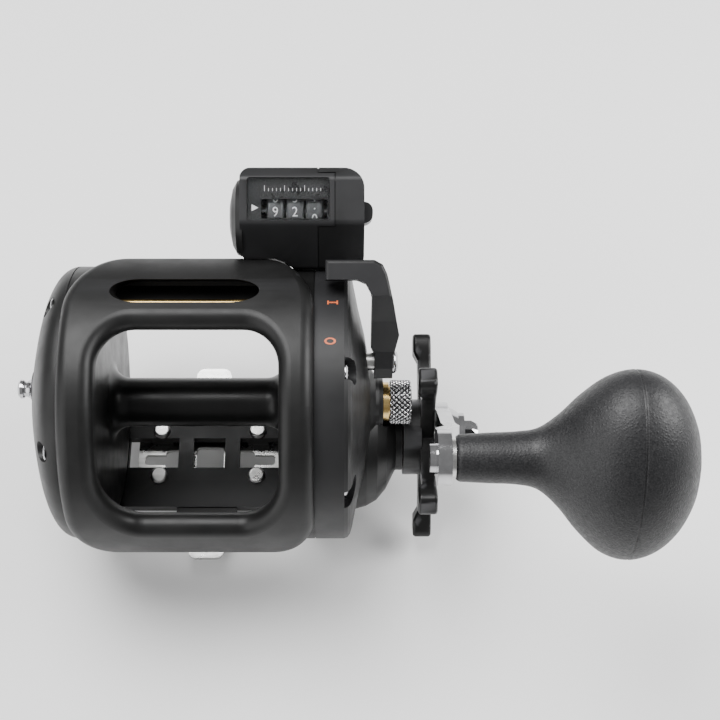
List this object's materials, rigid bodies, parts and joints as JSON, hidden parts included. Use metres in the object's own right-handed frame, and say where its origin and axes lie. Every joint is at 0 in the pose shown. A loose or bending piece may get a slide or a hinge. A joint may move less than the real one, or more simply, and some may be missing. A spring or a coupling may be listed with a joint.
{
  "type": "trolling reel",
  "caption": "Level-wind line-counter fishing reel with star drag, thumb window, free-spool lever and a large power knob on a single crank.",
  "frame": {"origin": "centre of the reel foot's flat underside, where it sits on the rod", "axes": "+X towards the handle along the spool axis, +Y towards the rod tip, +Z away from the rod"},
  "size_m": [0.1798, 0.1079, 0.1018],
  "materials": {
    "graphite_black": "satin black glass- and carbon-filled nylon",
    "black_metal": "satin black anodised aluminium",
    "spool_black": "satin black anodised aluminium",
    "knob_black": "pebbled black soft plastic",
    "button_black": "black moulded button",
    "panel_black": "gloss black face plate",
    "wheel_black": "black number wheels with white numerals",
    "window_clear": "clear acrylic window",
    "chrome": "polished chrome plate",
    "steel": "bright stainless steel",
    "brass": "machined brass",
    "white_plastic": "natural acetal",
    "drag_felt": "carbon fibre drag washer"
  },
  "bodies": {
    "reel_frame": {"frame": "graphite_black", "foot_plate": "steel", "foot_rivets": "steel", "worm_bushings": "brass", "guide_rod": "steel", "cross_rod": "brass", "left_cover": "graphite_black", "left_cover_screws": "chrome", "right_side_plate": "graphite_black", "right_plate_screws": "chrome", "bridge_plate": "steel", "left_spool_bearing": "steel", "right_spool_bearing": "steel", "drive_shaft_bush": "brass", "anti_reverse_bearing": "steel", "cast_control_boss": "brass", "counter_housing_left": "graphite_black", "counter_housing_right": "graphite_black", "counter_end_cap": "graphite_black", "counter_panel": "panel_black", "counter_window": "window_clear", "counter_axle": "steel"},
    "spool_unit": {"spool": "spool_black", "spool_shaft": "steel", "spool_cross_pin": "steel", "spool_gear": "white_plastic"},
    "yoke": {"clutch_yoke": "white_plastic"},
    "pinion": {"pinion_gear": "brass"},
    "handle": {"drive_shaft": "steel", "main_gear": "brass", "drag_washers": "drag_felt", "pressure_washers": "steel", "clutch_sleeve": "steel", "handle_arm": "chrome", "handle_nut": "chrome", "knob_spindle": "chrome", "knob_washer": "steel"},
    "knob": {"handle_knob": "knob_black"},
    "star": {"star_drag": "black_metal"},
    "cast_cap": {"cast_control_cap": "chrome"},
    "lever": {"clutch_lever": "graphite_black", "lever_shaft": "steel", "lever_screw": "chrome"},
    "clicker": {"clicker_plate": "black_metal", "clicker_button": "chrome"},
    "idler": {"idler_gear": "white_plastic"},
    "worm": {"worm_shaft": "steel", "worm_gear": "white_plastic"},
    "guide": {"line_guide": "chrome"},
    "wheel_hundreds": {"hundreds_wheel": "wheel_black"},
    "wheel_tens": {"tens_wheel": "wheel_black"},
    "wheel_units": {"units_wheel": "wheel_black"},
    "reset": {"reset_button": "button_black"}
  },
  "joints": [
    {"name": "handle_turn", "type": "hinge", "parent": "reel_frame", "child": "handle", "pos_m": [0.068, -0.00237, 0.02262], "axis": [1, 0, 0], "continuous": true},
    {"name": "spool_turn", "type": "hinge", "parent": "reel_frame", "child": "spool_unit", "pos_m": [0, 0, 0.04], "axis": [1, 0, 0], "continuous": true},
    {"name": "lever_throw", "type": "hinge", "parent": "reel_frame", "child": "lever", "pos_m": [0.05, 0.00609, 0.05252], "axis": [1, 0, 0], "range_deg": [0, 31]},
    {"name": "yoke_slide", "type": "slide", "parent": "reel_frame", "child": "yoke", "axis": [1, 0, 0], "range_m": [0, 0.0017]},
    {"name": "pinion_turn", "type": "hinge", "parent": "yoke", "child": "pinion", "pos_m": [0.04, 0, 0.04], "axis": [1, 0, 0], "continuous": true},
    {"name": "knob_turn", "type": "hinge", "parent": "handle", "child": "knob", "pos_m": [0.09, -0.03284, 0.07325], "axis": [1, 0, 0], "continuous": true},
    {"name": "star_turn", "type": "hinge", "parent": "handle", "child": "star", "pos_m": [0.062, -0.00237, 0.02262], "axis": [1, 0, 0], "range_deg": [-180, 180]},
    {"name": "cast_cap_turn", "type": "hinge", "parent": "reel_frame", "child": "cast_cap", "pos_m": [0.056, 0, 0.04], "axis": [1, 0, 0], "range_deg": [-360, 360]},
    {"name": "clicker_slide", "type": "slide", "parent": "reel_frame", "child": "clicker", "axis": [0, 0.8746, 0.4848], "range_m": [0, 0.003]},
    {"name": "idler_turn", "type": "hinge", "parent": "reel_frame", "child": "idler", "pos_m": [-0.03, 0.0183, 0.04017], "axis": [1, 0, 0], "continuous": true},
    {"name": "worm_turn", "type": "hinge", "parent": "reel_frame", "child": "worm", "pos_m": [0, 0.03483, 0.0473], "axis": [1, 0, 0], "continuous": true},
    {"name": "guide_slide", "type": "slide", "parent": "reel_frame", "child": "guide", "axis": [1, 0, 0], "range_m": [-0.018, 0.018]},
    {"name": "hundreds_turn", "type": "hinge", "parent": "reel_frame", "child": "wheel_hundreds", "pos_m": [0.0224, 0.03735, 0.07968], "axis": [1, 0, 0], "continuous": true},
    {"name": "tens_turn", "type": "hinge", "parent": "reel_frame", "child": "wheel_tens", "pos_m": [0.0276, 0.03735, 0.07968], "axis": [1, 0, 0], "continuous": true},
    {"name": "units_turn", "type": "hinge", "parent": "reel_frame", "child": "wheel_units", "pos_m": [0.0328, 0.03735, 0.07968], "axis": [1, 0, 0], "continuous": true},
    {"name": "reset_press", "type": "slide", "parent": "reel_frame", "child": "reset", "axis": [-1, 0, 0], "range_m": [0, 0.002], "stiffness_N_per_m": 250}
  ],
  "couplings": [
    {"joint": "spool_turn", "follows": "handle_turn", "ratio": -4.1818},
    {"joint": "pinion_turn", "follows": "handle_turn", "ratio": -4.1818},
    {"joint": "idler_turn", "follows": "handle_turn", "ratio": 0.81996},
    {"joint": "worm_turn", "follows": "handle_turn", "ratio": -4.6465},
    {"joint": "yoke_slide", "follows": "lever_throw", "m_per_rad": 0.002957},
    {"joint": "units_turn", "follows": "handle_turn", "ratio": 0.194},
    {"joint": "tens_turn", "follows": "handle_turn", "ratio": 0.0194},
    {"joint": "hundreds_turn", "follows": "handle_turn", "ratio": 0.00194}
  ]
}
